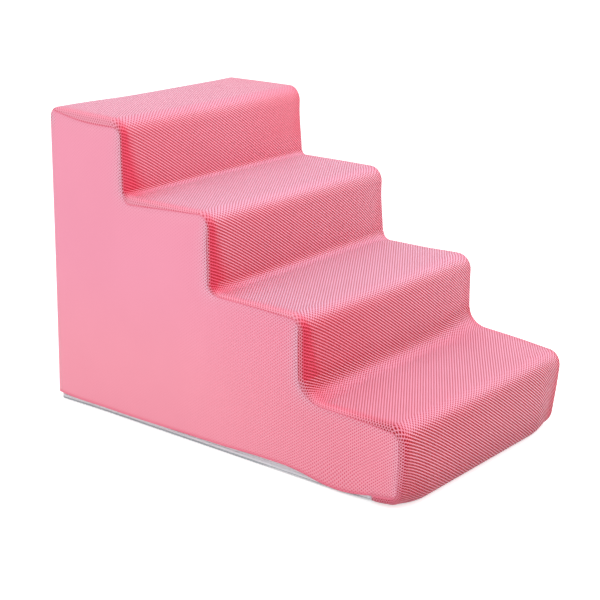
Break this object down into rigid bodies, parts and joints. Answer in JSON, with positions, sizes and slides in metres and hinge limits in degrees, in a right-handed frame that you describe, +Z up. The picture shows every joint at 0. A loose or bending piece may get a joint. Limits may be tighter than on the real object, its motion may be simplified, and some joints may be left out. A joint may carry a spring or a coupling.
{
  "type": "pet stairs",
  "caption": "Foam steps for a small dog or cat to climb onto a sofa or bed, in a fitted air-mesh cover that zips off round the base.",
  "frame": {"origin": "middle of the base on the floor", "axes": "+X across the stairs, towards the side with the zip's slider; -Y the front, where the lowest step is; +Z up"},
  "size_m": [0.35, 0.584, 0.398],
  "materials": {
    "step_mesh": "matte",
    "side_mesh": "matte",
    "base_cloth": "matte",
    "foam": "matte",
    "zip_tape": "matte",
    "zip_teeth": "satin",
    "zip_metal": "gloss"
  },
  "bodies": {
    "stairs": {"cover_step_strip": "step_mesh", "cover_left_side": "side_mesh", "cover_right_side": "side_mesh", "cover_back_panel": "step_mesh", "cover_base_panel": "base_cloth", "foam_slab_1": "foam", "foam_slab_2": "foam", "foam_slab_3": "foam", "foam_slab_4": "foam", "zip_upper_tape": "zip_tape", "zip_lower_tape": "zip_tape", "zip_upper_teeth": "zip_teeth", "zip_lower_teeth": "zip_teeth", "zip_end_stops": "zip_metal"},
    "zip_slider": {"zip_slider_body": "zip_metal"},
    "zip_pull": {"zip_pull_tab": "zip_metal"}
  },
  "joints": [
    {"name": "slider_run", "type": "slide", "parent": "stairs", "child": "zip_slider", "axis": [0, 1, 0], "range_m": [0, 0.51]},
    {"name": "pull_swing", "type": "hinge", "parent": "zip_slider", "child": "zip_pull", "pos_m": [0.1735, -0.2347, 0.0067], "axis": [0, 0, -1], "range_deg": [0, 150]}
  ]
}
